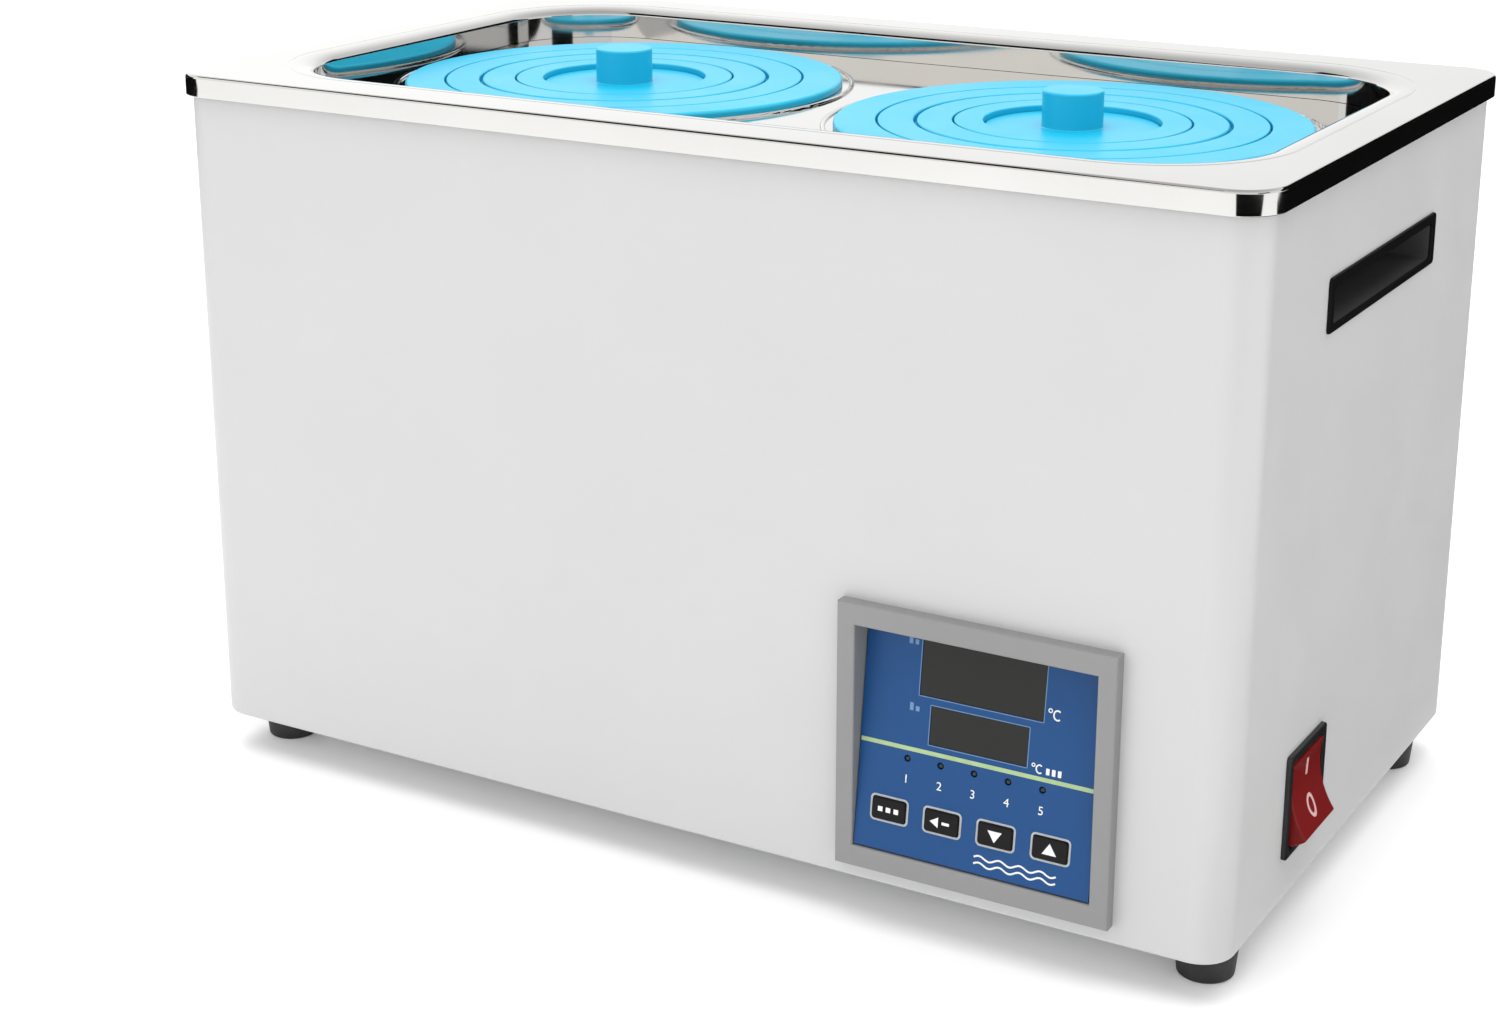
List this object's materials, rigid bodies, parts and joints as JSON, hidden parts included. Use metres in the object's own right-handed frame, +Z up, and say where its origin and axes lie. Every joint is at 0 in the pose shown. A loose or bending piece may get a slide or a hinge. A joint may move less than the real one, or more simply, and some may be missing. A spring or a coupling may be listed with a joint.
{
  "type": "water bath",
  "caption": "Benchtop laboratory water bath: white sheet-steel housing, stainless tank and deck, concentric ring lids, side handles, digital control panel and a mains rocker switch.",
  "frame": {"origin": "on the bench plane, under the middle of the housing", "axes": "+X to the right along the front, +Y to the back, +Z up"},
  "size_m": [0.3481, 0.2097, 0.2206],
  "materials": {
    "housing_paint": "smooth off-white powder coat",
    "base_steel": "zinc-coated sheet",
    "polished_steel": "mirror-polished stainless sheet",
    "tank_steel": "satin stainless sheet",
    "seal_foam": "closed-cell foam strip",
    "black_rubber": "moulded rubber",
    "zinc_steel": "bright zinc plate",
    "brass": "turned or stamped brass",
    "glass_wool": "glass wool blanket",
    "heater_steel": "drawn stainless tube",
    "silicone": "silicone washer",
    "black_plastic": "moulded black plastic, fine grain",
    "grey_plastic": "moulded grey plastic",
    "panel_blue": "printed blue film",
    "display_window": "smoked acrylic",
    "indicator": "unlit lens",
    "circuit_board": "green solder mask",
    "module_black": "moulded electronic housing",
    "terminal_plastic": "moulded terminal block",
    "rocker_red": "glossy red moulding",
    "key_black": "moulded key cap",
    "fuse_glass": "clear tube",
    "relay_plastic": "cream relay body",
    "wire_cover": "insulated wire",
    "lid_blue": "cyan-blue polypropylene"
  },
  "bodies": {
    "base": {"base_plate": "base_steel", "base_screws": "zinc_steel", "controller_case": "black_plastic", "controller_terminals": "terminal_plastic", "deck_gasket": "seal_foam", "deck_top": "polished_steel", "display_board": "circuit_board", "display_modules": "module_black", "earth_stud": "brass", "floor_insulation": "glass_wool", "foot_nuts": "zinc_steel", "foot_screws": "zinc_steel", "handle_cup_left": "black_plastic", "handle_cup_right": "black_plastic", "heater_element": "heater_steel", "heater_glands": "brass", "heater_seals": "silicone", "heater_wires": "wire_cover", "housing_shell": "housing_paint", "indicator_lights": "indicator", "inlet_pins": "brass", "inlet_screws": "zinc_steel", "inlet_socket": "black_plastic", "inner_tank": "tank_steel", "key_switches": "module_black", "lower_display_window": "display_window", "mains_wires": "wire_cover", "overheat_cutout": "black_plastic", "panel_face": "panel_blue", "panel_frame": "grey_plastic", "probe_fitting": "brass", "probe_lead": "wire_cover", "relay_screws": "zinc_steel", "rubber_feet": "black_rubber", "solid_state_relay": "relay_plastic", "switch_body": "black_plastic", "switch_tabs": "brass", "tank_insulation": "glass_wool", "tank_shelf": "tank_steel", "temperature_probe": "heater_steel", "terminal_strip": "terminal_plastic", "upper_display_window": "display_window"},
    "cover": {"cover_plate": "polished_steel"},
    "rocker": {"power_rocker": "rocker_red"},
    "fuse_drawer": {"fuse_drawer": "black_plastic", "fuse": "fuse_glass"},
    "left_ring_1": {"left_ring_1": "lid_blue"},
    "left_ring_2": {"left_ring_2": "lid_blue"},
    "left_ring_3": {"left_ring_3": "lid_blue"},
    "left_ring_4": {"left_ring_4": "lid_blue"},
    "left_cap": {"left_cap": "lid_blue"},
    "right_ring_1": {"right_ring_1": "lid_blue"},
    "right_ring_2": {"right_ring_2": "lid_blue"},
    "right_ring_3": {"right_ring_3": "lid_blue"},
    "right_ring_4": {"right_ring_4": "lid_blue"},
    "right_cap": {"right_cap": "lid_blue"},
    "key_1": {"key_1": "key_black"},
    "key_2": {"key_2": "key_black"},
    "key_3": {"key_3": "key_black"},
    "key_4": {"key_4": "key_black"}
  },
  "joints": [
    {"name": "cover_lift", "type": "slide", "parent": "base", "child": "cover", "axis": [0, 0, 1], "range_m": [0, 0.06]},
    {"name": "left_ring_1_lift", "type": "slide", "parent": "cover", "child": "left_ring_1", "axis": [0, 0, 1], "range_m": [0, 0.06]},
    {"name": "left_ring_2_lift", "type": "slide", "parent": "left_ring_1", "child": "left_ring_2", "axis": [0, 0, 1], "range_m": [0, 0.06]},
    {"name": "left_ring_3_lift", "type": "slide", "parent": "left_ring_2", "child": "left_ring_3", "axis": [0, 0, 1], "range_m": [0, 0.06]},
    {"name": "left_ring_4_lift", "type": "slide", "parent": "left_ring_3", "child": "left_ring_4", "axis": [0, 0, 1], "range_m": [0, 0.06]},
    {"name": "left_cap_lift", "type": "slide", "parent": "left_ring_4", "child": "left_cap", "axis": [0, 0, 1], "range_m": [0, 0.06]},
    {"name": "right_ring_1_lift", "type": "slide", "parent": "cover", "child": "right_ring_1", "axis": [0, 0, 1], "range_m": [0, 0.06]},
    {"name": "right_ring_2_lift", "type": "slide", "parent": "right_ring_1", "child": "right_ring_2", "axis": [0, 0, 1], "range_m": [0, 0.06]},
    {"name": "right_ring_3_lift", "type": "slide", "parent": "right_ring_2", "child": "right_ring_3", "axis": [0, 0, 1], "range_m": [0, 0.06]},
    {"name": "right_ring_4_lift", "type": "slide", "parent": "right_ring_3", "child": "right_ring_4", "axis": [0, 0, 1], "range_m": [0, 0.06]},
    {"name": "right_cap_lift", "type": "slide", "parent": "right_ring_4", "child": "right_cap", "axis": [0, 0, 1], "range_m": [0, 0.06]},
    {"name": "key_1_press", "type": "slide", "parent": "base", "child": "key_1", "axis": [0, 0.9936, -0.1132], "range_m": [0, 0.0005], "stiffness_N_per_m": 2500},
    {"name": "key_2_press", "type": "slide", "parent": "base", "child": "key_2", "axis": [0, 0.9936, -0.1132], "range_m": [0, 0.0005], "stiffness_N_per_m": 2500},
    {"name": "key_3_press", "type": "slide", "parent": "base", "child": "key_3", "axis": [0, 0.9936, -0.1132], "range_m": [0, 0.0005], "stiffness_N_per_m": 2500},
    {"name": "key_4_press", "type": "slide", "parent": "base", "child": "key_4", "axis": [0, 0.9936, -0.1132], "range_m": [0, 0.0005], "stiffness_N_per_m": 2500},
    {"name": "rocker_toggle", "type": "hinge", "parent": "base", "child": "rocker", "pos_m": [0.1676, -0.04305, 0.04165], "axis": [0, 1, 0], "range_deg": [0, 24]},
    {"name": "fuse_drawer_pull", "type": "slide", "parent": "base", "child": "fuse_drawer", "axis": [0, 1, 0], "range_m": [0, 0.02]}
  ]
}
